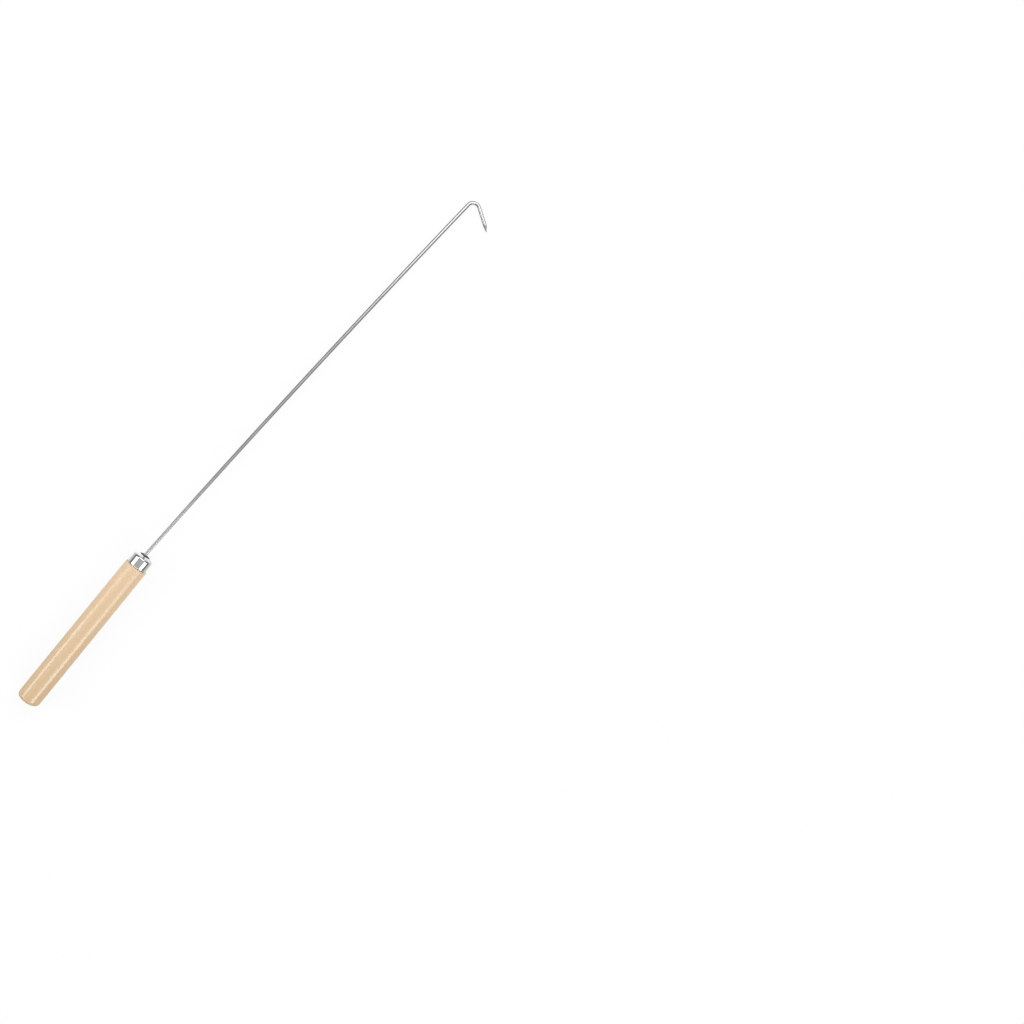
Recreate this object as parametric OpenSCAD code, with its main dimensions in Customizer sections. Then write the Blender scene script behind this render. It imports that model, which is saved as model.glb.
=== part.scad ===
// Roasting fork: a wooden dowel handle, a plated cap over its front end, and
// one steel wire glued into it that ends in a sharpened hook.
// It lies as it rests on a table, z = 0, with the hook towards +X.

/* [Handle] */
// Diameter of the dowel
handle_d = 20; // [18:0.5:28]
// Length of wood behind the ferrule
handle_len = 145; // [100:1:220]
// Radius that the butt's edge is sanded to
butt_round = 3.4; // [1:0.1:5]
// Radius that the edge beside the ferrule is eased to
front_ease = 0.4; // [0.2:0.1:0.8]

/* [Ferrule] */
// How far the wood stands out past the ferrule all round
wood_step = 1.2; // [0.8:0.1:2]
// Length of the ferrule
ferrule_len = 11.5; // [10:0.1:16]
// Thickness of the metal that the ferrule is drawn from
ferrule_wall = 0.5; // [0.4:0.05:0.8]
// Outer radius between the ferrule's side and its face
ferrule_round = 1.8; // [1:0.1:2.4]
// How far the face is domed: from the top of that round to the edge of the hole
ferrule_dome = 1.2; // [0.6:0.1:1.5]
// Diameter of the hole in the ferrule's face
ferrule_hole_d = 9; // [7:0.1:9]
// Radius of the bead that is curled at the ferrule's mouth
bead_r = 0.45; // [0.3:0.05:0.5]
// How far that bead stands out from the ferrule's side
bead_proud = 0.22; // [0.1:0.02:0.3]

/* [Wire] */
// Diameter of the wire
wire_d = 3; // [2.5:0.1:3.5]
// Length of wire from the ferrule's face to the hook's bend
wire_len = 402; // [250:1:700]
// Sideways lean of the wire from the handle's axis where it leaves the ferrule, in degrees
lean = 2.4; // [0:0.1:3]
// How much further the wire bows over by the time it reaches the hook, in degrees
bow = 2.05; // [0:0.05:4]
// Number of slight set bends that share this bow
bow_bends = 4; // [1:1:8]
// Distance of the wire from the handle's axis at the ferrule's face
wire_offset = 0.35; // [0:0.05:0.6]

/* [Hook] */
// Radius of the hook's bend, to the middle of the wire
hook_r = 5.5; // [4:0.1:10]
// Angle that the wire turns through at the bend, in degrees
hook_angle = 117.7; // [100:0.1:140]
// Length of the prong, from the bend to its tip
prong_len = 21.6; // [16:0.1:40]
// Length of the ground point at the prong's end
point_len = 5.5; // [4:0.1:8]
// Distance of the point's tip from the middle of the wire, towards the inside of the hook
point_offset = 0.6; // [0:0.1:0.8]
// Radius of the blunt end of the point
tip_r = 0.2; // [0.1:0.05:0.4]

/* [Tang] */
// Length of wire behind the ferrule's face, inside the handle
tang_len = 48; // [35:1:60]
// Diameter of the hole that is drilled for the tang
bore_d = 4; // [3.8:0.1:5]
// Length of the two flats that are pressed on the tang's end, so that the glue keys it
flat_len = 12; // [8:1:20]
// Thickness of the tang between its flats
flat_t = 2; // [1.6:0.1:2.4]

/* [Hidden] */

$fn = 96;
// Overlap that keeps a cut clear of the face it cuts
CUT = 1;
// Bending draws the wire this much thinner, and the straight wire laps over its ends
BEND_THIN = 0.01;
BEND_LAP = 0.01;
// Depth of glue under the tang's end
GLUE_UNDER = 1;
// The collar of glue on the tenon's end: its height, its spread past the wire, its top edge
COLLAR_H = 1.3;
COLLAR_SPREAD = 1.6;
COLLAR_EDGE = 0.12;
// Room between the tenon's end and the start of the ferrule's rounded corner
TENON_GAP = 0.2;

handle_r = handle_d / 2;
wire_r = wire_d / 2;
bend_wire_r = wire_r - BEND_THIN;
ferrule_r = handle_r - wood_step;
tenon_r = ferrule_r - ferrule_wall;
corner_y = ferrule_len - ferrule_dome - ferrule_round;
tenon_len = corner_y - TENON_GAP;
tenon_x = handle_len + tenon_len;
face_x = handle_len + ferrule_len;

// A heading is in degrees to the right of the handle's axis, in the wire's plane
function along(heading) = [cos(heading), -sin(heading)];

// The shift that an arc of radius r makes as its heading turns from a to b
function arc_shift(r, a, b) = [r * (sin(b) - sin(a)), r * (cos(b) - cos(a))];

// The bowed wire is straight stretches between its set bends: where each one starts,
// its heading and its length, the first and the last being half as long as the others
turn = bow / bow_bends;
function heading(i) = lean + turn * i;
function stretch(i) = wire_len / bow_bends / (i == 0 || i == bow_bends ? 2 : 1);
function start(i) = i == 0 ? [0, 0] : start(i - 1) + stretch(i - 1) * along(heading(i - 1));

hook_in = heading(bow_bends);
hook_out = hook_in + hook_angle;
bend_start = start(bow_bends + 1);
bend_end = bend_start + arc_shift(hook_r, hook_in, hook_out);
hook_top = bend_start + arc_shift(hook_r, hook_in, 90);
tip = bend_end + prong_len * along(hook_out) + point_offset * along(hook_out + 90);

// The wire dips just enough for the hook to rest on the table beside the handle
dip = asin((handle_r - bend_wire_r) / hook_top.x);

// The middle of the whole fork's box, measured from the butt on the handle's axis
mid_x = (face_x + hook_top.x * cos(dip) + bend_wire_r) / 2;
mid_y = (handle_r + wire_offset + tip.y - tip_r * abs(cos(hook_out))) / 2;

// Stands a shape that is drawn along +Z on the handle's axis, from the butt forwards
module on_handle_axis() {
    translate([-mid_x, -mid_y, handle_r]) rotate([0, 90, 0]) children();
}

// Puts a shape where the wire leaves the ferrule's face, with the wire's plane as its XY
module at_wire_exit() {
    translate([face_x - mid_x, wire_offset - mid_y, handle_r]) rotate([0, dip, 0]) children();
}

// A round bar of radius r from start to end along +X
module bar(r, start, end) {
    translate([start, 0, 0]) rotate([0, 90, 0]) cylinder(r = r, h = end - start);
}

// Everything on the +X side of the origin that a stretch of wire can reach
module beyond() {
    translate([0, -wire_d, -wire_d]) cube([2 * wire_d, 2 * wire_d, 2 * wire_d]);
}

// One straight stretch of wire, mitred where it meets its neighbours
module wire_stretch(i) {
    len = stretch(i);
    difference() {
        bar(wire_r, i == 0 ? -tang_len : -wire_d, len + (i == bow_bends ? BEND_LAP : wire_d));
        if (i > 0) rotate([0, 0, turn / 2]) mirror([1, 0, 0]) beyond();
        if (i < bow_bends) translate([len, 0, 0]) rotate([0, 0, -turn / 2]) beyond();
    }
}

// The wire from stretch i to its point, each stretch carrying the next on its end
module wire_from(i) {
    wire_stretch(i);
    translate([stretch(i), 0, 0])
        if (i < bow_bends) rotate([0, 0, -turn]) wire_from(i + 1);
        else hook();
}

// The hook, starting along +X: a bend to the right, and the prong on its end
module hook() {
    translate([0, -hook_r, 0])
        rotate([0, 0, 90 - hook_angle]) {
            rotate_extrude(angle = hook_angle) translate([hook_r, 0]) circle(r = bend_wire_r);
            translate([hook_r, 0, 0]) rotate([0, 0, -90]) prong();
        }
}

// Half outline of a round bar of radius r and length len, with its far corner rounded
module rounded_end(r, len, corner) {
    square([r, len - corner]);
    square([r - corner, len]);
    translate([r - corner, len - corner]) circle(r = corner);
}

// The dowel's half outline: butt at y = 0, shoulder at handle_len, tenon beyond it
module handle_outline() {
    intersection() {
        translate([0, handle_len]) mirror([0, 1]) rounded_end(handle_r, handle_len, butt_round);
        rounded_end(handle_r, handle_len, front_ease);
    }
    square([tenon_r, tenon_x]);
}

// The prong, from the bend's end at the origin towards +X
module prong() {
    cone_len = prong_len + 2 * CUT;
    slope = atan2(wire_r - tip_r, point_len);
    tilt = atan2(point_offset, point_len);
    intersection() {
        bar(wire_r, -BEND_LAP, prong_len + CUT);
        translate([prong_len, -point_offset, 0])
            rotate([0, -90, -tilt])
                cylinder(r1 = tip_r, r2 = tip_r + cone_len * tan(slope), h = cone_len);
    }
}

// What is pressed away on both sides of the tang's end
module tang_flats() {
    for (side = [0, 1])
        mirror([0, 0, side])
            translate([-tang_len - CUT, -wire_d, flat_t / 2])
                cube([flat_len + CUT, 2 * wire_d, wire_d]);
}

// Places what is drawn about the tang, with the ferrule's face at x = 0
module on_tang() {
    at_wire_exit() rotate([0, 0, -lean]) children();
}

// The hole drilled for the tang, as a solid
module tang_bore() {
    on_tang() bar(bore_d / 2, -tang_len - GLUE_UNDER, 0);
}

// A cone round the tang, whose foot is below the tenon's end
module collar_cone() {
    slope = COLLAR_SPREAD / COLLAR_H;
    foot_r = wire_r + COLLAR_EDGE + slope * (COLLAR_H + CUT);
    on_tang()
        translate([tenon_x - face_x - CUT, 0, 0])
            rotate([0, 90, 0])
                cylinder(r1 = foot_r, r2 = wire_r + COLLAR_EDGE, h = COLLAR_H + CUT);
}

// Turned dowel with a tenon for the ferrule and a blind hole for the tang
module handle() {
    color([0.87, 0.76, 0.61])
        difference() {
            on_handle_axis() rotate_extrude() handle_outline();
            tang_bore();
        }
}

// Half outline of a cup of radius r and length len whose face is domed. All such cups keep
// the middle of the ferrule's corner round, so a smaller one lies evenly inside a larger one.
// The face slopes in a straight line from the round, which it touches at rim, to the hole.
module domed_end(r, len, corner) {
    middle = [ferrule_r - ferrule_round, corner_y];
    edge = [ferrule_hole_d / 2, len];
    slope = atan2(edge.y - middle.y, middle.x - edge.x) - asin(corner / norm(middle - edge));
    rim = middle + corner * [sin(slope), cos(slope)];
    polygon([[0, 0], [r, 0], [r, corner_y], middle, rim, edge, [0, len]]);
    translate(middle) circle(r = corner);
}

// Drawn cap: rounded corner, domed face with a hole, open back with a curled bead
module ferrule() {
    color([0.80, 0.80, 0.81])
        on_handle_axis()
            translate([0, 0, handle_len])
                rotate_extrude()
                    difference() {
                        union() {
                            domed_end(ferrule_r, ferrule_len, ferrule_round);
                            translate([ferrule_r + bead_proud - bead_r, bead_r]) circle(r = bead_r);
                        }
                        domed_end(tenon_r, ferrule_len - ferrule_wall, ferrule_round - ferrule_wall);
                        square([ferrule_hole_d / 2, ferrule_len + CUT]);
                    }
}

// One wire: tang, long shank, hook and ground point
module hook_rod() {
    color([0.70, 0.70, 0.71])
        on_tang()
            difference() {
                wire_from(0);
                tang_flats();
            }
}

// Glue round the tang, with a small collar where the wire comes out of the wood
module tang_glue() {
    color([0.78, 0.77, 0.74])
        difference() {
            union() {
                intersection() {
                    tang_bore();
                    on_handle_axis() cylinder(r = tenon_r, h = tenon_x + COLLAR_EDGE);
                }
                intersection() {
                    collar_cone();
                    on_handle_axis() translate([0, 0, tenon_x]) cylinder(r = tenon_r, h = ferrule_len);
                }
            }
            on_tang()
                difference() {
                    bar(wire_r, -tang_len, 0);
                    tang_flats();
                }
        }
}

handle();
ferrule();
hook_rod();
tang_glue();
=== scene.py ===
# %% [markdown]
# # A roasting fork: wood, plate, wire and glue
# This lesson dresses a finished CAD model of a campfire roasting fork: a wooden dowel, a plated
# cap over its front end, and one long steel wire that is glued into the dowel and ends in a
# sharpened hook. The CAD model sets the sizes. Here each piece gets a smooth skin, worked out as a
# formula, and a finish that looks like the real stuff.
#
# The model is loaded first, and its box is kept, so that the lesson can show at the end how far
# the skins' box is from it.

# %% Load the frame
import math
import bpy
import numpy as np
from mathutils import Matrix, Vector


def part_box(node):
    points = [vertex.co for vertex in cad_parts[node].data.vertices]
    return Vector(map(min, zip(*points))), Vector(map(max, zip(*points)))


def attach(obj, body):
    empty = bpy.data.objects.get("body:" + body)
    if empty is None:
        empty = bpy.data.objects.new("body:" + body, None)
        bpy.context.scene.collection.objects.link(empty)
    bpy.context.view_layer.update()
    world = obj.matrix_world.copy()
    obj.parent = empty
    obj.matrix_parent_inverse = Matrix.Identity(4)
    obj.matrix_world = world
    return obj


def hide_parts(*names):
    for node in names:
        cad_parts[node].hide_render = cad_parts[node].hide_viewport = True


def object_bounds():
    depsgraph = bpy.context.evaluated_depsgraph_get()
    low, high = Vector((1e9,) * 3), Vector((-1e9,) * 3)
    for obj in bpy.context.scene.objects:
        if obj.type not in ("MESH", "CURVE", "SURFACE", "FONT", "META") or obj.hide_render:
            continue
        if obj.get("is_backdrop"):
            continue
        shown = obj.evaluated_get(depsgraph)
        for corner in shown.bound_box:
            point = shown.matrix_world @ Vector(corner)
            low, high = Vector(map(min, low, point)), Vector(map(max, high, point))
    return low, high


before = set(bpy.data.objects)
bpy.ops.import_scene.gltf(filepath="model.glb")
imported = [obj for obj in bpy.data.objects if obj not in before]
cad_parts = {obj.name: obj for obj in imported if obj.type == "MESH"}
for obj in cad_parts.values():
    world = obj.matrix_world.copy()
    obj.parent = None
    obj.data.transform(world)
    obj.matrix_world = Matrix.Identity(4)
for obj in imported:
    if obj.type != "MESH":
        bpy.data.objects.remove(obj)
CAD_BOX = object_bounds()
MM = 0.001
print("nodes:", sorted(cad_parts))
print("box, mm:", [round((high - low) / MM, 2) for low, high in zip(*CAD_BOX)])

# %% [markdown]
# ## Where things are
# Positions are read off the CAD nodes' boxes. The dowel is round and lies along X, so the middle
# of its box is the handle's axis. The cap's box runs from the step in the wood to the cap's face,
# and the wire's box ends at the outside of the hook.

# %% Read the places off the frame
handle_low, handle_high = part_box("handle")
cap_low, cap_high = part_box("ferrule")
rod_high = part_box("hook_rod")[1]

BUTT_X = handle_low.x
SHOULDER_X = cap_low.x
TENON_X = handle_high.x
FACE_X = cap_high.x
AXIS_Y = (handle_low.y + handle_high.y) / 2
AXIS_Z = (handle_low.z + handle_high.z) / 2
HANDLE_R = (handle_high.z - handle_low.z) / 2
CAP_REACH_R = (cap_high.z - cap_low.z) / 2
PLACES_X = (BUTT_X, SHOULDER_X, TENON_X, FACE_X)
print("handle axis, mm:", round(AXIS_Y / MM, 2), round(AXIS_Z / MM, 2))
print("handle radius, mm:", round(HANDLE_R / MM, 2))
print("butt, step, tenon end and cap face, mm:", [round(x / MM, 2) for x in PLACES_X])

# %% [markdown]
# ## One helper makes every mesh
# All four pieces are round things, so each one is a stack of rings. A ring is a row of points that
# closes on itself, and neighbouring rings are joined by four-sided faces. A solid bar is closed at
# both ends by a fan of triangles to the middle of the last ring. A hollow shell, such as the cap,
# has no ends: its last ring joins its first, as the crust of a ring-shaped cake does.
#
# Blender could spin a profile or bevel a curve to do this. Rings worked out as whole arrays are
# chosen because one helper then serves the dowel, the cap, the wire and the glue alike, and the
# points can also carry a second set of three numbers, called straight. On the wire it says where
# each point would be if the wire were straight, so that a pattern that reads it follows the bend.
# On the cap its first number says which side of the sheet a point is on.

# %% The ring helpers
AROUND = 96


def turns(count=AROUND):
    """Angles round a ring, one full turn shared out evenly, the last one short of the first."""
    return np.linspace(0, 2 * np.pi, count, endpoint=False)


def skin(name, rings, straight=None, shell=False):
    """rings[i, j] is point j of ring i. Quads join neighbouring rings. The ends are fans to the mean
    point of the end rings, or with shell=True the last ring joins the first. straight, of the same
    shape, is kept on the mesh as an attribute."""
    count, around = rings.shape[:2]
    points = rings.reshape(-1, 3)
    i = np.arange(count if shell else count - 1)[:, None]
    j = np.arange(around)[None, :]
    here, right = i * around + j, i * around + (j + 1) % around
    ahead = ((i + 1) % count) * around + j
    corner = ((i + 1) % count) * around + (j + 1) % around
    faces = np.stack([here, right, corner, ahead], -1).reshape(-1, 4).tolist()
    if not shell:
        poles = len(points)
        points = np.concatenate([points, rings[:1].mean(1), rings[-1:].mean(1)])
        last = (count - 1) * around
        faces += [[(k + 1) % around, k, poles] for k in range(around)]
        faces += [[last + k, last + (k + 1) % around, poles + 1] for k in range(around)]
    mesh = bpy.data.meshes.new(name)
    mesh.from_pydata(points.tolist(), [], faces)
    mesh.shade_smooth()
    if straight is not None:
        flat = straight.reshape(-1, 3)
        if not shell:
            flat = np.concatenate([flat, straight[:1].mean(1), straight[-1:].mean(1)])
        attribute = mesh.attributes.new("straight", "FLOAT_VECTOR", "POINT")
        attribute.data.foreach_set("vector", flat.astype(np.float32).ravel())
    piece = bpy.data.objects.new(name, mesh)
    bpy.context.scene.collection.objects.link(piece)
    print(name, "has", len(faces), "faces and holds", round(volume_of(mesh) / MM**3, 1), "mm3")
    return piece


def volume_of(mesh):
    """The volume inside a closed mesh: the sum over its triangles of a . (b x c) / 6. It is above 0
    only where the faces point outwards."""
    mesh.calc_loop_triangles()
    corners = np.zeros(len(mesh.loop_triangles) * 3, np.int32)
    mesh.loop_triangles.foreach_get("vertices", corners)
    place = np.zeros(len(mesh.vertices) * 3, np.float32)
    mesh.vertices.foreach_get("co", place)
    a, b, c = place.reshape(-1, 3).astype(float)[corners.reshape(-1, 3)].transpose(1, 0, 2)
    return float((a * np.cross(b, c)).sum() / 6)


# %% [markdown]
# ## Profiles
# A turned or drawn part is a profile that goes once round an axis. The profile is a list of (x, r)
# points: x along the axis and r out from it. It is put together from straight lines and arcs, and
# an edge that looks sharp still gets a small arc, because no real edge is a knife and the arc is
# what catches the light.

# %% Lines, arcs and the lathe


def line(start, end, steps):
    """Evenly spaced points from start to end, both ends included."""
    return np.linspace(start, end, steps)


def arc(centre, radius, from_deg, to_deg, steps):
    """Points on a circle: the centre plus radius times (cosine, sine) of an angle that runs evenly."""
    angle = np.radians(np.linspace(from_deg, to_deg, steps))
    return np.asarray(centre) + radius * np.stack([np.cos(angle), np.sin(angle)], -1)


def lathe(profile, angles):
    """Turns (x, r) points round the handle's axis: y is r times the angle's cosine, z is r times its
    sine, both from the axis."""
    x, r = profile[:, 0, None], profile[:, 1, None]
    y = AXIS_Y + r * np.cos(angles)
    z = AXIS_Z + r * np.sin(angles)
    return np.stack([x + 0 * y, y, z], -1)


# %% [markdown]
# ## The wire's path
# The wire is one piece of 3 mm steel. It starts in a hole in the dowel, leaves the cap a little to
# one side of straight, bows over slightly more along its length, turns sharply round a pin to make
# the hook, and ends in a ground point. All of it lies in one plane, and that plane dips just
# enough for the hook to touch the table.
#
# Every stretch is straight or part of a circle, so the path needs only a length and a turn for
# each. A curve object through hand-placed points could do it too, but its bend would never be
# truly round. The CAD wire makes its bow from a few straight stretches. One smooth arc, as here,
# stays within about a tenth of a millimetre of them.

# %% The wire's stretches
WIRE_R = 1.5 * MM
WIRE_OFFSET = 0.35 * MM
LEAN_DEG = 2.4
BOW_DEG = 2.05
WIRE_LEN = 402 * MM
HOOK_R = 5.5 * MM
HOOK_DEG = 117.7
PRONG_LEN = 21.6 * MM
TANG_LEN = 48 * MM
BEND_THINNING = 0.01 * MM
NEARLY_NOTHING = 1e-9

DIP = math.atan2(AXIS_Z - WIRE_R, rod_high.x - WIRE_R - FACE_X)
STRETCHES = [
    ("tang", TANG_LEN, 0.0),
    ("shank", WIRE_LEN, BOW_DEG),
    ("bend", HOOK_R * math.radians(HOOK_DEG), HOOK_DEG),
    ("prong", PRONG_LEN, 0.0),
]
STRETCH_START = np.cumsum([-TANG_LEN] + [length for _, length, _ in STRETCHES])


def move(length, heading, turn):
    """The step along a stretch that turns evenly: as long as the chord of its arc, in the heading
    that it has half way. sinc makes the chord right for a straight stretch as well."""
    chord = length * np.sinc(turn / (2 * np.pi))
    return np.stack([chord * np.cos(heading + turn / 2), -chord * np.sin(heading + turn / 2)], -1)


def wire_path(s):
    """Place and heading in the wire's own plane at distance s from the cap's face. Headings are in
    radians to the right of the handle's axis."""
    lean = math.radians(LEAN_DEG)
    place, heading = -TANG_LEN * np.array([math.cos(lean), -math.sin(lean)]), LEAN_DEG
    places, headings = np.zeros((len(s), 2)), np.zeros(len(s))
    for (_, length, turn), start in zip(STRETCHES, STRETCH_START):
        on = s >= start - NEARLY_NOTHING
        along = np.clip(s[on] - start, 0, length)
        part = np.radians(turn) * along / length
        places[on] = place + move(along, np.radians(heading), part)
        headings[on] = np.radians(heading) + part
        place = place + move(length, np.radians(heading), np.radians(turn))
        heading += turn
    return places, headings


def out_of_plane(place, side, up, heading):
    """A point of the wire in the frame: start from its place in the plane, go side to the left of the
    heading and up square to the plane, then tip the plane by DIP about the cap's face."""
    x = place[..., 0] + side * np.sin(heading)
    y = place[..., 1] + side * np.cos(heading)
    return np.stack([
        FACE_X + x * math.cos(DIP) + up * math.sin(DIP),
        AXIS_Y + WIRE_OFFSET + y,
        AXIS_Z - x * math.sin(DIP) + up * math.cos(DIP),
    ], -1)


print("dip, degrees:", round(math.degrees(DIP), 3))
print("lengths, mm:", {part: round(length / MM, 1) for part, length, _ in STRETCHES})

# %% [markdown]
# ## The tang and the point
# The wire isn't round all the way. Two flats are pressed on the buried end, the tang, so that the
# glue can hold it from turning. The far end is ground to a point whose tip sits towards the inside
# of the hook. So each ring of the wire has its own outline: the tang's is a circle with two sides
# cut off, and the point's is where a narrowing circle overlaps the wire's own circle.

# %% Rings of the wire
FLAT_LEN = 12 * MM
FLAT_T = 2 * MM
RAMP = 1 * MM
POINT_LEN = 5.5 * MM
POINT_OFFSET = 0.6 * MM
TIP_R = 0.2 * MM
TIP_STEPS = 8


def smoothstep(low, high, x):
    """0 below low, 1 above high, and a smooth S between."""
    t = np.clip((x - low) / (high - low), 0, 1)
    return t * t * (3 - 2 * t)


def tang_outline(s, angles):
    """Distance from the wire's middle to its surface. On the flats it is no more than half the flats'
    thickness divided by the sine, which is a straight side; the press leaves a short ramp."""
    from_end, angles = s[:, None] + TANG_LEN, angles[None, :]
    unpressed = smoothstep(FLAT_LEN - RAMP, FLAT_LEN + RAMP, from_end)
    half = FLAT_T / 2 + (WIRE_R - FLAT_T / 2) * unpressed
    side = half / np.maximum(np.abs(np.sin(angles)), 1e-6)
    return np.minimum(WIRE_R, side)


def point_outline(to_tip, angles):
    """Middle and radius of each ring of the point. The middle drifts towards the hook's inside by
    POINT_OFFSET over POINT_LEN. From there the surface is at the cone, or at the round wire if that
    is nearer: the far crossing of a ray with the circle of radius WIRE_R."""
    share = np.clip(1 - to_tip / POINT_LEN, 0, 1)[:, None]
    shift = -POINT_OFFSET * share
    cone = TIP_R + (WIRE_R - TIP_R) * np.maximum(to_tip, 0)[:, None] / POINT_LEN
    toward = np.cos(angles)[None, :]
    wire = -shift * toward + np.sqrt(WIRE_R**2 - shift**2 * (1 - toward**2))
    return shift, np.minimum(cone, wire)


print("ground point, mm:", round(POINT_LEN / MM, 2), "long, tip", round(2 * TIP_R / MM, 2), "across")

# %% [markdown]
# ## The wire itself
# Rings stand close together where the wire turns or changes outline, and far apart on the long
# shank, which is so nearly straight that a ring every few millimetres is plenty. The bend is drawn
# a hair thinner, as bending does to a real wire.

# %% Build the wire
WIRE_AROUND = 48
wire_angles = turns(WIRE_AROUND)
tip_s = STRETCH_START[-1]
bend_s, prong_s = STRETCH_START[2], STRETCH_START[3]
flats_end = -TANG_LEN + FLAT_LEN + 2 * RAMP
wire_s = np.concatenate([
    np.linspace(-TANG_LEN, flats_end, 40, endpoint=False),
    np.linspace(flats_end, 0, 16, endpoint=False),
    np.linspace(0, bend_s, 134, endpoint=False),
    np.linspace(bend_s, prong_s, 48, endpoint=False),
    np.linspace(prong_s, tip_s - POINT_LEN, 12, endpoint=False),
    np.linspace(tip_s - POINT_LEN, tip_s - TIP_R, 40, endpoint=False),
    tip_s - TIP_R * (1 - np.sin(np.linspace(0, 0.48 * np.pi, TIP_STEPS))),
])
places, headings = wire_path(wire_s)
shift, radius = point_outline(tip_s - wire_s, wire_angles)
radius = np.minimum(radius, tang_outline(wire_s, wire_angles))
past_start = smoothstep(bend_s - RAMP, bend_s, wire_s)
past_end = smoothstep(prong_s, prong_s + RAMP, wire_s)
radius = radius - BEND_THINNING * (past_start * (1 - past_end))[:, None]
nose = np.sqrt(np.clip(1 - ((wire_s - (tip_s - TIP_R)) / TIP_R).clip(0, 1) ** 2, 0, 1))
radius = np.where((wire_s > tip_s - TIP_R)[:, None], TIP_R * nose[:, None], radius)
side = shift + radius * np.cos(wire_angles)
up = radius * np.sin(wire_angles)
wire_rings = out_of_plane(places[:, None, :], side, up, headings[:, None])
wire_straight = np.stack([wire_s[:, None] + 0 * side, side, up], -1)
wire = skin("hook_wire", wire_rings, wire_straight)
print("rings:", len(wire_s))

# %% [markdown]
# ## The dowel
# The handle is sawn from a board, turned round, sanded and dipped in lacquer. The butt's edge is
# rounded over, the edge beside the cap is only eased, and beyond it a thinner tenon carries the
# cap. A blind hole for the tang is drilled into the tenon's end, so the skin doesn't stop at that
# end: it turns into the hole, goes down its wall and closes at the bottom. The hole leans as the
# wire does, which a plain lathe can't give, so its rings are set about the tang instead.
#
# The CAD dowel has a fault at the butt. Its rounded edge stops half a millimetre short of the end
# face, in a small square step. The skin rounds the edge all the way, as sanding does, so the two
# are up to 0.4 mm apart there.
#
# A sanded dowel is never perfectly round. A few hundredths of a millimetre of slow waviness along
# the grain are put in the mesh itself, and they are what makes long highlights waver.

# %% Build the dowel
BUTT_ROUND = 3.4 * MM
FRONT_EASE = 0.4 * MM
CAP_WALL = 0.5 * MM
WOOD_STEP = 1.2 * MM
CAP_R = HANDLE_R - WOOD_STEP
TENON_R = CAP_R - CAP_WALL
BORE_R = 2 * MM
GLUE_UNDER = 1 * MM
WAVE_DEPTH = 0.02 * MM
WAVES = ((2, 150), (3, 90), (5, 60), (7, 45), (9, 32))


def about_tang(s, radius, angles, level_x=None):
    """A ring round the tang's own line. With level_x, each point slides along that line until its x is
    level_x, so the ring lies flat on the tenon's end."""
    lean = math.radians(LEAN_DEG)
    s = np.full(len(angles), float(s))
    side, up = radius * np.cos(angles), radius * np.sin(angles)

    def at(s):
        place = np.stack([s * math.cos(lean), -s * math.sin(lean)], -1)
        return out_of_plane(place, side, up, lean)

    if level_x is not None:
        s = s + (level_x - at(s)[:, 0]) / (math.cos(lean) * math.cos(DIP))
    return at(s)


def waviness(x, angles):
    """A sum of slow waves: each has its own number of lobes round the dowel, its own length along it
    in millimetres, and its own start."""
    rng = np.random.default_rng(7)
    total = 0
    for lobes, length in WAVES:
        start, phase = rng.uniform(0, 2 * np.pi, 2)
        lengthwise = np.cos(2 * np.pi * x / (length * MM) + phase)
        total = total + np.cos(lobes * angles + start) * lengthwise / lobes
    return total


dowel_profile = np.concatenate([
    line((BUTT_X, 0.3 * MM), (BUTT_X, HANDLE_R - BUTT_ROUND), 14),
    arc((BUTT_X + BUTT_ROUND, HANDLE_R - BUTT_ROUND), BUTT_ROUND, 180, 90, 22)[1:],
    line((BUTT_X + BUTT_ROUND, HANDLE_R), (SHOULDER_X - FRONT_EASE, HANDLE_R), 120)[1:],
    arc((SHOULDER_X - FRONT_EASE, HANDLE_R - FRONT_EASE), FRONT_EASE, 90, 0, 8)[1:],
    line((SHOULDER_X, HANDLE_R - FRONT_EASE), (SHOULDER_X, TENON_R), 5)[1:],
    line((SHOULDER_X, TENON_R), (TENON_X, TENON_R), 12)[1:],
    line((TENON_X, TENON_R), (TENON_X, BORE_R + 1.8 * MM), 6)[1:],
])
dowel_angles = turns(AROUND)
dowel_rings = lathe(dowel_profile, dowel_angles)
worn = smoothstep(0.6, 1.0, dowel_profile[:, 1] / HANDLE_R)[:, None]
dip_in = WAVE_DEPTH * worn * (waviness(dowel_profile[:, 0, None], dowel_angles) - 1.2) / 2
dowel_rings[..., 1] += dip_in * np.cos(dowel_angles)
dowel_rings[..., 2] += dip_in * np.sin(dowel_angles)
tenon_s = (TENON_X - FACE_X) / (math.cos(math.radians(LEAN_DEG)) * math.cos(DIP))
bore_bottom_s = -TANG_LEN - GLUE_UNDER
bore_mouth = [about_tang(tenon_s, BORE_R, dowel_angles, level_x=TENON_X)]
bore_wall = [
    about_tang(s, BORE_R, dowel_angles) for s in np.linspace(tenon_s - 1 * MM, bore_bottom_s, 24)
]
dowel = skin("dowel_handle", np.concatenate([dowel_rings, np.stack(bore_mouth + bore_wall)]))

# %% [markdown]
# ## The cap
# The cap, or ferrule, is pressed from thin sheet: a disc is drawn through a ring into a cup, its face
# is domed a little to stiffen it, a hole is punched in the dome, and the open mouth is curled to a
# small bead so that it doesn't cut the wood. Then it is nickel plated.
#
# One closed profile goes all the way round the sheet: up the outside, over the domed face, round
# the hole's edge and back down the inside. Turned round the axis it makes a shell with real
# thickness, which a surface with no back could only pretend to have. The dome is a straight slope
# that touches both the corner's round and the edge's round, so its angle follows from the two.
#
# Plating grows thin and dull where the bath hardly reaches, so the points down the inside are
# marked, and the finish will be able to tell the two sides of the sheet apart.

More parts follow.
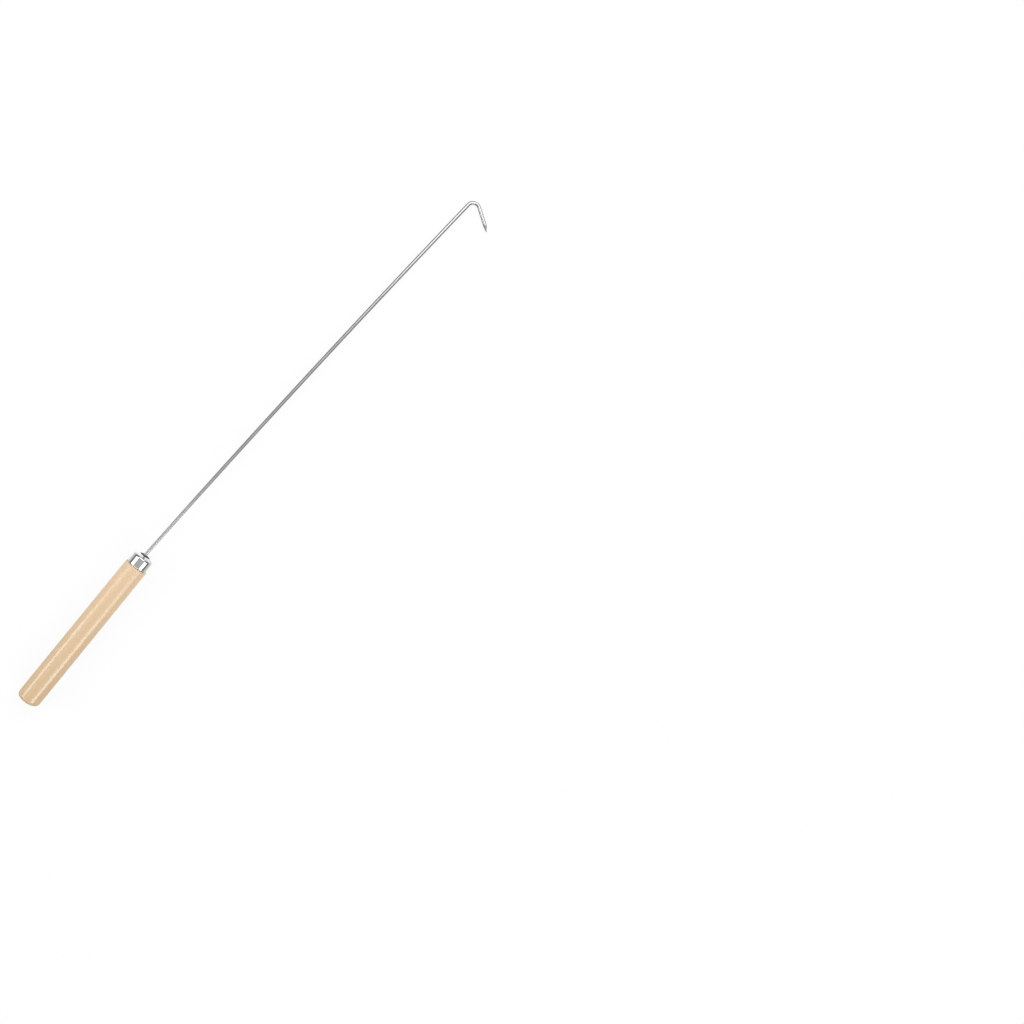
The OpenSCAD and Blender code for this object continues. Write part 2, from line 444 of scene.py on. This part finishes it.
# %% Build the cap
CAP_ROUND = 1.8 * MM
CAP_DOME = 1.2 * MM
BEAD_R = 0.45 * MM
HOLE_R = 4.5 * MM
EDGE_R = CAP_WALL / 2
MOUTH_GAP = 0.3 * MM
CAP_AROUND = 128
bead_centre = (SHOULDER_X + BEAD_R, CAP_REACH_R - BEAD_R)
bead_meets = math.degrees(math.acos((CAP_R - bead_centre[1]) / BEAD_R))
round_centre = (FACE_X - CAP_DOME - CAP_ROUND, CAP_R - CAP_ROUND)
edge_centre = (FACE_X - EDGE_R, HOLE_R + EDGE_R)
drop, reach = edge_centre[0] - round_centre[0], round_centre[1] - edge_centre[1]
closing = math.asin((CAP_ROUND - EDGE_R) / math.hypot(drop, reach))
dome_deg = math.degrees(math.atan2(drop, reach) - closing)
print("the dome slopes by", round(dome_deg, 1), "degrees")

corner_outside = arc(round_centre, CAP_ROUND, 90, dome_deg, 24)
hole_edge = arc(edge_centre, EDGE_R, dome_deg, dome_deg - 180, 16)
corner_inside = arc(round_centre, CAP_ROUND - CAP_WALL, dome_deg, 90, 12)
outer_profile = np.concatenate([
    arc(bead_centre, BEAD_R, 250, 90 - bead_meets, 26),
    line((SHOULDER_X + 2.2 * BEAD_R, CAP_R), corner_outside[0], 16),
    corner_outside[1:],
    line(corner_outside[-1], hole_edge[0], 12)[1:],
    hole_edge[1:],
])
inner_profile = np.concatenate([
    line(hole_edge[-1], corner_inside[0], 8)[1:],
    corner_inside[1:],
    line(corner_inside[-1], (SHOULDER_X + MOUTH_GAP, TENON_R), 10)[1:],
])
cap_rings = lathe(np.concatenate([outer_profile, inner_profile]), turns(CAP_AROUND))
sheet_side = np.zeros(cap_rings.shape)
sheet_side[len(outer_profile) - 1:, :, 0] = 1.0
cap = skin("plated_cap", cap_rings, straight=sheet_side, shell=True)

# %% [markdown]
# ## The glue
# The tang is bedded in glue. Most of it is out of sight down the hole, but a collar creeps up the
# wire where it leaves the wood, and it can be seen through the hole in the cap's face. Wet glue
# climbs a wire in a hollow curve, steep at the top and flat at the foot, and its foot is never
# quite round.
#
# The skin starts under the tang's end, climbs the wall of the drilled hole, spreads on the wood,
# rises up the wire and comes back down along it.

# %% Build the glue
COLLAR_H = 1.3 * MM
COLLAR_SPREAD = 1.6 * MM
COLLAR_EDGE = 0.12 * MM
GLUE_GAP = 0.01 * MM
GLUE_AROUND = 64
glue_angles = turns(GLUE_AROUND)


def collar_radius(height, angles):
    """The hollow curve: the wire's radius, plus a thin edge, plus a spread that falls off as the square
    of what is left of the height. The spread is uneven round the wire."""
    left = 1 - height / COLLAR_H
    lobes = 0.1 * np.cos(angles + 0.7) + 0.07 * np.cos(2 * angles + 2.1) + 0.01 * np.cos(5 * angles)
    return WIRE_R + COLLAR_EDGE + COLLAR_SPREAD * (0.82 + lobes) * left**2


up_the_bore = [
    about_tang(s, BORE_R - GLUE_GAP, glue_angles)
    for s in np.linspace(bore_bottom_s + GLUE_GAP, tenon_s - 0.5 * MM, 24)
]
mouth = [about_tang(tenon_s, BORE_R - GLUE_GAP, glue_angles, level_x=TENON_X + GLUE_GAP)]
up_the_wire = [
    about_tang(tenon_s, collar_radius(h, glue_angles), glue_angles, level_x=TENON_X + GLUE_GAP + h)
    for h in np.linspace(0, COLLAR_H, 14)
]
down_the_wire = [
    about_tang(s, tang_outline(np.array([s]), glue_angles)[0] + GLUE_GAP, glue_angles)
    for s in np.linspace(tenon_s + COLLAR_H - 0.3 * MM, -TANG_LEN - GLUE_GAP, 60)
]
glue = skin("tang_glue_bed", np.stack(up_the_bore + mouth + up_the_wire + down_the_wire))

# %% [markdown]
# ## A few words for making materials
# A finish is a small graph of nodes. These helpers add a node and set its sockets in one line, so
# that the recipes below read as recipes. The room round the fork is such a graph as well, so the
# helpers work on any graph and not only on a material's. Colours are written as they look on a
# screen and turned into the linear values that the renderer counts in.

# %% Node helpers


def linear(colour):
    """Screen colour to linear light: near black it is divided by 12.92, and above that it follows the
    curve ((c + 0.055) / 1.055) to the power 2.4."""
    c = np.asarray(colour, float)
    light = np.where(c <= 0.04045, c / 12.92, ((c + 0.055) / 1.055) ** 2.4)
    return tuple(float(v) for v in light) + (1.0,)


class Graph:
    """The node graph of a material or of the world, cleared. add() makes a node, sets its properties
    and its sockets, and links any socket that is given another node's output."""

    def __init__(self, owner):
        owner.use_nodes = True
        self.tree = owner.node_tree
        self.tree.nodes.clear()

    def fill(self, node, socket, value):
        """Links the socket if the value is another node's output, and sets it if not."""
        if isinstance(value, bpy.types.NodeSocket):
            self.tree.links.new(value, node.inputs[socket])
        else:
            node.inputs[socket].default_value = value

    def add(self, kind, inputs=None, **properties):
        node = self.tree.nodes.new("ShaderNode" + kind)
        for key, value in properties.items():
            setattr(node, key, value)
        for socket, value in (inputs or {}).items():
            self.fill(node, socket, value)
        return node

    def noise(self, vector, scale, detail=2.0, roughness=0.5):
        """Cloudy noise between 0 and 1, at so many blobs to the metre."""
        inputs = {"Vector": vector, "Scale": scale, "Detail": detail, "Roughness": roughness}
        return self.add("TexNoise", inputs).outputs[0]

    def stretched(self, vector, scale, location=(0, 0, 0), rotation=(0, 0, 0)):
        """The same coordinates, moved, turned, and scaled by a different amount along each axis."""
        inputs = {"Vector": vector, "Location": location, "Rotation": rotation, "Scale": scale}
        return self.add("Mapping", inputs).outputs["Vector"]

    def spread(self, value, low, high, to_low=0.0, to_high=1.0):
        """Stretches low..high to to_low..to_high, clamped at both ends."""
        inputs = {"Value": value, "From Min": low, "From Max": high}
        inputs.update({"To Min": to_low, "To Max": to_high})
        return self.add("MapRange", inputs).outputs["Result"]

    def sum(self, a, b, share=1.0):
        """a plus share times b."""
        return self.add("Math", {0: b, 1: share, 2: a}, operation="MULTIPLY_ADD").outputs[0]

    def mix(self, factor, a, b, blend="MIX"):
        """Colour a where the factor is 0, colour b where it is 1, or with MULTIPLY a times b."""
        node = self.add("Mix", data_type="RGBA", blend_type=blend)
        for socket, value in ((0, factor), (6, a), (7, b)):
            self.fill(node, socket, value)
        return node.outputs[2]

    def bump(self, height, distance):
        """Tilts the surface as if the height, from 0 to 1, were so many metres."""
        inputs = {"Height": height, "Distance": distance, "Strength": 1.0}
        return self.add("Bump", inputs).outputs["Normal"]


class Recipe(Graph):
    """The graph of a new material, which ends in one shader."""

    def __init__(self, name):
        self.material = bpy.data.materials.new(name)
        super().__init__(self.material)

    def finish(self, **sockets):
        """The one shader of the material, and its output."""
        named = {key.replace("_", " "): value for key, value in sockets.items()}
        shader = self.add("BsdfPrincipled", named)
        self.add("OutputMaterial", {"Surface": shader.outputs[0]})
        print("finish:", self.material.name, "from", len(self.tree.nodes), "nodes")
        return self.material


# %% [markdown]
# ## Lacquered wood
# The dowel is a pale hardwood under a thin clear lacquer. Seen close, such wood shows four things:
# growth rings, which cut the dowel's side as long faint bands; fibres, which are fine streaks along
# it; pores, which are short dark flecks; and a slow drift of tone from end to end. The butt shows
# the same rings as curves, and it is darker, because end grain drinks the lacquer.
#
# All of it is one solid pattern in the object's own coordinates, as if the dowel were cut from a
# block of pattern. That is why the side and the butt agree without any unwrapping. Two things
# follow the dowel and not the block: the butt's half is a little glossier from hands and a little
# darker, a painted shade for the light that falls off towards the butt; and the end of the tenon,
# under the cap, is smeared grey with glue.

# %% Make the wood
PALE = linear((0.900, 0.793, 0.665))
WARM = linear((0.872, 0.755, 0.610))
FLECK = linear((0.760, 0.620, 0.460))
SMEAR = linear((0.740, 0.735, 0.710))
END_GRAIN = linear((0.810, 0.690, 0.545))
# Painted shade: the wood is multiplied darker towards the butt, standing in for less light falling there.
BUTT_PAINTED_SHADE = (0.88, 0.865, 0.82, 1.0)
TO_AXIS = (0, -AXIS_Y, -AXIS_Z)

wood = Recipe("lacquered_wood")
place = wood.add("TexCoord").outputs["Object"]
centred = wood.stretched(place, (1, 1, 1), location=TO_AXIS)
wander = wood.noise(wood.stretched(centred, (9, 60, 60)), 1.0, detail=3)
rings = wood.add("TexWave", {
    "Vector": wood.stretched(centred, (1.2, 60, 60), location=(0, 1.9, -1.4)),
    "Scale": 1.0, "Distortion": 1.4, "Detail": 2.0, "Detail Scale": 0.7,
}, wave_type="RINGS", rings_direction="X").outputs[1]
fibres = wood.noise(wood.stretched(centred, (40, 1900, 1900)), 1.0, detail=3, roughness=0.6)
pores = wood.noise(wood.stretched(centred, (260, 3000, 3000)), 1.0, detail=1)
drift = wood.noise(wood.stretched(centred, (14, 90, 90)), 1.0, detail=2)
tone = wood.spread(wood.sum(wood.sum(wood.sum(rings, fibres, 0.7), drift, 1.2), wander, 0.6), 1.0, 2.6)
facing = wood.add("SeparateXYZ", {0: wood.add("NewGeometry").outputs["Normal"]}).outputs["X"]
end = wood.spread(facing, -0.55, -0.95)
fleck = wood.spread(pores, 0.66, 0.74, 0.0, 0.45)
colour = wood.mix(tone, PALE, WARM)
colour = wood.mix(fleck, colour, FLECK)
colour = wood.mix(end, colour, END_GRAIN)
along = wood.add("SeparateXYZ", {0: place}).outputs["X"]
smeared = wood.spread(along, TENON_X - 0.4 * MM, TENON_X - 0.1 * MM)
colour = wood.mix(smeared, colour, SMEAR)
# Towards the butt the colour darkens, a painted shade for less light falling there, and the roughness
# drops, as hands polish the butt.
to_butt = wood.spread(along, SHOULDER_X, BUTT_X)
colour = wood.mix(to_butt, colour, BUTT_PAINTED_SHADE, blend="MULTIPLY")
film = wood.noise(wood.stretched(centred, (55, 420, 420)), 1.0, detail=2)
dust = wood.noise(centred, 2400, detail=1)
height = wood.sum(wood.sum(film, fibres, 0.05), dust, 0.025)
satin = wood.spread(film, 0.3, 0.7, 0.22, 0.30)
rubbed = wood.spread(to_butt, 0.0, 0.7)
wood_material = wood.finish(
    Base_Color=colour,
    Roughness=wood.sum(satin, rubbed, -0.15),
    Normal=wood.bump(height, 0.06 * MM),
)

# %% [markdown]
# ## Nickel plate
# Bright nickel is a mirror with a faint warm grey tint. What makes it look like a cheap pressed
# part and not like a perfect mirror is what the press leaves: very fine lines round the axis, a
# slight unevenness of the sheet, and hairline scratches from the tumbling barrel. Inside the cap
# the plate is dull, and its colour is paler than outside: a painted light that brightens the shade
# inside the cup. The points of the cap carry which side of the sheet they are on, so one material
# can be bright outside and dull inside.

# %% Make the plate
PLATE_DIM = linear((0.785, 0.785, 0.78))
PLATE_BRIGHT = linear((0.83, 0.83, 0.825))
# Painted light: the inside of the cap is given a paler colour than the outside, to brighten the shade
# inside the cup.
PLATE_INSIDE_PAINTED_LIGHT = linear((0.95, 0.95, 0.945))

plate = Recipe("nickel_plate")
place = plate.add("TexCoord").outputs["Object"]
centred = plate.stretched(place, (1, 1, 1), location=TO_AXIS)
drawn = plate.noise(plate.stretched(centred, (9000, 60, 60)), 1.0, detail=2)
uneven = plate.noise(centred, 260, detail=2)
scratches = plate.noise(plate.stretched(centred, (700, 5200, 900), rotation=(0.5, 0.3, 0.8)), 1.0, detail=1)
height = plate.sum(plate.sum(uneven, drawn, 0.05), scratches, 0.03)
marked = plate.add("Attribute", attribute_name="straight").outputs["Vector"]
inside = plate.add("SeparateXYZ", {0: marked}).outputs["X"]
bright = plate.mix(uneven, PLATE_DIM, PLATE_BRIGHT)
scuffed = plate.spread(scratches, 0.35, 0.7, 0.07, 0.13)
plate_material = plate.finish(
    # The inside's paler colour is painted light; its extra roughness is the real dull plate.
    Base_Color=plate.mix(inside, bright, PLATE_INSIDE_PAINTED_LIGHT),
    Metallic=1.0,
    Roughness=plate.sum(scuffed, inside, 0.45),
    Normal=plate.bump(height, 0.012 * MM),
)

# %% [markdown]
# ## Drawn wire
# Wire is pulled through a die, which leaves fine lines along it, and a thin nickel flash over the
# steel doesn't hide them. The ground point is bare steel, with marks that run round it from the
# stone, and it is a little yellower. Both patterns read where each point would be on the straight
# wire, so the lines follow the hook round its bend.

# %% Make the wire's finish
STEEL_DULL = linear((0.74, 0.74, 0.745))
STEEL_BRIGHT = linear((0.80, 0.80, 0.80))
STEEL_GROUND = linear((0.80, 0.795, 0.775))

drawn_wire = Recipe("drawn_wire")
bar = drawn_wire.add("Attribute", attribute_name="straight").outputs["Vector"]
die_lines = drawn_wire.noise(drawn_wire.stretched(bar, (20, 7000, 7000)), 1.0, detail=2)
stone_lines = drawn_wire.noise(drawn_wire.stretched(bar, (9000, 500, 500)), 1.0, detail=2)
dull = drawn_wire.noise(drawn_wire.stretched(bar, (60, 500, 500)), 1.0, detail=3)
along = drawn_wire.add("SeparateXYZ", {0: bar}).outputs["X"]
ground = drawn_wire.spread(along, float(tip_s - POINT_LEN * 1.05), float(tip_s - POINT_LEN * 0.95))
steel = drawn_wire.mix(dull, STEEL_DULL, STEEL_BRIGHT)
line_kinds = {0: ground, 2: die_lines, 3: stone_lines}
lines = drawn_wire.add("Mix", line_kinds, data_type="FLOAT").outputs[0]
wire_material = drawn_wire.finish(
    Base_Color=drawn_wire.mix(ground, steel, STEEL_GROUND),
    Metallic=1.0,
    Roughness=drawn_wire.spread(dull, 0.3, 0.7, 0.22, 0.31),
    Normal=drawn_wire.bump(lines, 0.0007 * MM),
)

# %% [markdown]
# ## Dried glue
# The glue is an epoxy. It dries hard, glossy and pale grey, with small bubbles caught near the
# skin. Cloudy noise drifts the grey, and the cells of a Voronoi pattern, flattened so that only
# their middles stay low, stand for the bubbles.

# %% Make the glue's finish
GLUE_DARK = linear((0.72, 0.71, 0.67))
GLUE_PALE = linear((0.82, 0.81, 0.77))

dried = Recipe("dried_glue")
place = dried.add("TexCoord").outputs["Object"]
cloudy = dried.noise(place, 900, detail=3)
bubbles = dried.add("TexVoronoi", {"Vector": place, "Scale": 2600.0}).outputs["Distance"]
glue_material = dried.finish(
    Base_Color=dried.mix(cloudy, GLUE_DARK, GLUE_PALE),
    Roughness=dried.spread(cloudy, 0.3, 0.7, 0.16, 0.30),
    Normal=dried.bump(dried.spread(bubbles, 0.1, 0.35), 0.03 * MM),
)

# %% [markdown]
# ## Dress the pieces
# Each new skin stands for one CAD node, which is hidden, and takes the finish made for it above.
# It rides on the one body that the model has, because nothing on a roasting fork moves.

# %% Put each finish on its piece
for piece, material, node, slot in (
    (dowel, wood_material, "handle", "wood"),
    (cap, plate_material, "ferrule", "plated_cap"),
    (wire, wire_material, "hook_rod", "bright_wire"),
    (glue, glue_material, "tang_glue", "glue"),
):
    piece.data.materials.append(material)
    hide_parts(node)
    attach(piece, "root")
    print(piece.name, "stands for", node)

# %% [markdown]
# ## The table
# The fork lies on a plain white table. To the eye of the camera most of its white is its own
# light, and all of it far from the fork, so it stays white to the edge of the view; the rest is
# ordinary paint and still takes a soft shadow.
#
# What metal mirrors is not that white table. For such rays most of it is a glow of its own, up to
# 1.75 times white in a small pool by the cap and falling off to a dark grey. Without the fall-off
# the sides of the cap would mirror plain white and vanish, and without the pool its face would be
# too dark. It is a trick: a real table can't look one way to the eye and another in a mirror. So
# the cap's contrast belongs to this scene, and under other light the cap will look different.

# %% Lay the table
FLOOR_HALF = 6.0
CAMERA_SHARE = 0.9
FADE_FROM = 0.45
FADE_TO = 0.85
MIRROR_SHARE = 0.85
MIRROR_GREY = 0.05
MIRROR_WHITE = 1.75
PAINT = (0.9, 0.9, 0.9, 1.0)
WHITE = (1.0, 1.0, 1.0, 1.0)
POOL_R = 0.04
POOL_AHEAD = 0.012
POOL_LEFT = 0.005


def make_table():
    """One square face at z = 0, far wider than the fork is long. What the camera sees of its own light
    rises with the distance from the pool, from CAMERA_SHARE to all. What metal mirrors falls with
    it, as POOL_R divided by the distance plus POOL_R."""
    mesh = bpy.data.meshes.new("table")
    corners = [(x * FLOOR_HALF, y * FLOOR_HALF, 0.0) for x, y in ((-1, -1), (1, -1), (1, 1), (-1, 1))]
    mesh.from_pydata(corners, [], [(0, 1, 2, 3)])
    table = bpy.data.objects.new("table", mesh)
    bpy.context.scene.collection.objects.link(table)
    recipe = Recipe("white_table")
    rays = recipe.add("LightPath").outputs
    camera, mirror = rays["Is Camera Ray"], rays["Is Glossy Ray"]
    place = recipe.add("NewGeometry").outputs["Position"]
    pool = (FACE_X + POOL_AHEAD, AXIS_Y + POOL_LEFT, 0.0)
    away = recipe.add("VectorMath", {0: place, 1: pool}, operation="DISTANCE").outputs["Value"]
    whiter = recipe.spread(away, FADE_FROM, FADE_TO, CAMERA_SHARE, 1.0)
    seen = recipe.add("Math", {0: camera, 1: whiter}, operation="MULTIPLY").outputs[0]
    share = recipe.sum(seen, mirror, MIRROR_SHARE)
    paint = recipe.add("BsdfDiffuse", {"Color": PAINT}).outputs[0]
    further = recipe.sum(away, POOL_R)
    fading = recipe.add("Math", {0: POOL_R, 1: further}, operation="DIVIDE").outputs[0]
    mirrored = recipe.spread(fading, 0.0, 1.0, MIRROR_GREY, MIRROR_WHITE)
    colour = recipe.mix(mirror, WHITE, mirrored)
    glow = recipe.add("Emission", {"Color": colour, "Strength": 1.0}).outputs[0]
    mixed = recipe.add("MixShader", {0: share, 1: paint, 2: glow}).outputs[0]
    recipe.add("OutputMaterial", {"Surface": mixed})
    mesh.materials.append(recipe.material)
    table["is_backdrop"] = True
    print("table:", 2 * FLOOR_HALF, "m on a side")


make_table()

# %% [markdown]
# ## The lamps
# Two softboxes in a row hang on each side of the fork, about a metre off, and what they draw is the
# two streaks down the lacquer and the two white panels on the cap. A shiny round bar shows a lamp
# as a streak, and the wider the lamp, the wider the streak. The cap and the wood show different
# stretches of the row, because they lie at different places under the eye. So the front box, which
# the cap shows, is wide, and the back box, which the wood shows, is narrower and brighter. Between
# the two sides it is darker, which is the grey band in the middle of the cap.
#
# Two pale boards hang level over the hook's end. They are what the cap's rounded corner and the
# wire mirror.

# %% Light it
LAMP_AWAY = 1.0
BACK_BOX = {"from_x": -0.82, "to_x": -0.46, "wide": 0.40, "glow": 4.7}
FRONT_BOX = {"from_x": -0.46, "to_x": -0.32, "wide": 0.59, "glow": 3.2}
SOFTBOXES = (
    ("left_back", -58, BACK_BOX),
    ("left_front", -54, FRONT_BOX),
    ("right_back", 51, BACK_BOX),
    ("right_front", 54, FRONT_BOX),
)
BOARD_HEIGHT = 1.25
NEAR_BOARD = {"from_x": 0.34, "to_x": 0.70, "right": -0.45, "left": 1.25, "glow": 1.55}
FAR_BOARD = {"from_x": 0.70, "to_x": 2.2, "right": -1.0, "left": 1.25, "glow": 2.1}


def area_lamp(name, long_x, wide, glow, location, turn_x=0.0):
    """A lamp with a rectangular face, long_x along the fork, as bright as glow times white: such a
    face gives off pi times its area times glow in watts. It can't be seen by the camera, only its
    light and its reflection."""
    lamp = bpy.data.lights.new(name, "AREA")
    lamp.shape = "RECTANGLE"
    lamp.size, lamp.size_y = long_x, wide
    lamp.energy = math.pi * long_x * wide * glow
    lamp_object = bpy.data.objects.new(name, lamp)
    lamp_object.location = location
    lamp_object.rotation_euler = (turn_x, 0, 0)
    lamp_object.visible_camera = False
    bpy.context.scene.collection.objects.link(lamp_object)
    print(name, "at", [round(v, 3) for v in location], "gives", round(lamp.energy, 2), "W")


def softbox(name, side_deg, from_x, to_x, wide, glow):
    """A lamp beside the fork: so many degrees over from straight up, at LAMP_AWAY from the handle's
    axis, and facing it."""
    tilt = math.radians(side_deg)
    away = Vector((0, -math.sin(tilt), math.cos(tilt)))
    middle = Vector(((from_x + to_x) / 2, AXIS_Y, AXIS_Z)) + LAMP_AWAY * away
    area_lamp(name, to_x - from_x, wide, glow, middle, tilt)


def bounce_board(name, from_x, to_x, right, left, glow):
    """A pale board that hangs level over the hook's end. It reaches from right to left of the
    handle's axis."""
    middle = Vector(((from_x + to_x) / 2, AXIS_Y + (right + left) / 2, BOARD_HEIGHT))
    area_lamp(name, to_x - from_x, left - right, glow, middle)


for name, side_deg, box in SOFTBOXES:
    softbox(name, side_deg, **box)
bounce_board("near_board", **NEAR_BOARD)
bounce_board("far_board", **FAR_BOARD)

# %% [markdown]
# ## The room
# The rest of the room is a background with three looks, chosen by the kind of ray. The camera sees
# white past the table. Metal sees a grey that is paler overhead than at the level of the table, as
# walls are under a white ceiling. Everything else is lit by an even grey, which fills the shadows.

# %% Paint the room
ROOM_SOFT = 0.55
ROOM_TOP = 0.64
ROOM_EDGE = 0.22
EDGE_UP = 0.2
TOP_UP = 0.9


def make_room():
    """What metal sees rises evenly from ROOM_EDGE to ROOM_TOP as the upward part of its direction goes
    from EDGE_UP to TOP_UP."""
    world = bpy.data.worlds.new("room")
    bpy.context.scene.world = world
    room = Graph(world)
    rays = room.add("LightPath").outputs
    direction = room.add("TexCoord").outputs["Generated"]
    upward = room.add("SeparateXYZ", {0: direction}).outputs["Z"]
    level = room.spread(upward, EDGE_UP, TOP_UP, ROOM_EDGE, ROOM_TOP)
    mirrored = room.add("Background", {"Color": WHITE, "Strength": level}).outputs[0]
    soft = room.add("Background", {"Color": WHITE, "Strength": ROOM_SOFT}).outputs[0]
    white = room.add("Background", {"Color": WHITE, "Strength": 1.0}).outputs[0]
    unseen = room.add("MixShader", {0: rays["Is Glossy Ray"], 1: soft, 2: mirrored}).outputs[0]
    mixed = room.add("MixShader", {0: rays["Is Camera Ray"], 1: unseen, 2: white}).outputs[0]
    room.add("OutputWorld", {"Surface": mixed})
    print("room:", len(room.tree.nodes), "nodes")


make_room()

# %% [markdown]
# ## The camera
# The camera hangs a metre over the middle of the wire and is aimed past the fork, so that the fork
# lies across the left half of the frame, with its handle low at the left and its hook near the
# middle. It is turned about its own line of sight, as one turns a camera in the hand.

# %% Hang the camera
CAMERA_PLACE = Vector((FACE_X + 0.2255, AXIS_Y - 0.0002, AXIS_Z + 1.057))
AIM = Vector((FACE_X + 0.2227, AXIS_Y - 0.2195, AXIS_Z))
ROLL_DEG = -50.754
LENS_MM = 43.435


def hang_camera():
    """Looks from CAMERA_PLACE to AIM. Before the roll the frame's right is the fork's +X."""
    look = (AIM - CAMERA_PLACE).normalized()
    right = (Vector((1, 0, 0)) - look * look.x).normalized()
    up = right.cross(look)
    roll = math.radians(ROLL_DEG)
    rolled_right = right * math.cos(roll) + up * math.sin(roll)
    rolled_up = up * math.cos(roll) - right * math.sin(roll)
    data = bpy.data.cameras.new("camera")
    data.lens = LENS_MM
    camera = bpy.data.objects.new("camera", data)
    turn = Matrix((rolled_right, rolled_up, -look)).transposed()
    camera.matrix_world = Matrix.Translation(CAMERA_PLACE) @ turn.to_4x4()
    bpy.context.scene.collection.objects.link(camera)
    bpy.context.scene.camera = camera
    print("camera:", round(1000 * (AIM - CAMERA_PLACE).length), "mm from where it is aimed")


hang_camera()
bpy.context.scene.view_settings.view_transform = "Standard"

# %% [markdown]
# ## Compare the size
# The visual model's box is set beside the CAD model's, and how far apart their corners are is
# printed. A box says nothing about shape inside it, such as the step at the butt.

# %% Print how far apart the boxes are
visual_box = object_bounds()
for corner, visual, cad in zip(("lowest", "highest"), visual_box, CAD_BOX):
    print(corner, "corner, visual minus CAD, mm:", [round((v - c) / MM, 3) for v, c in zip(visual, cad)])
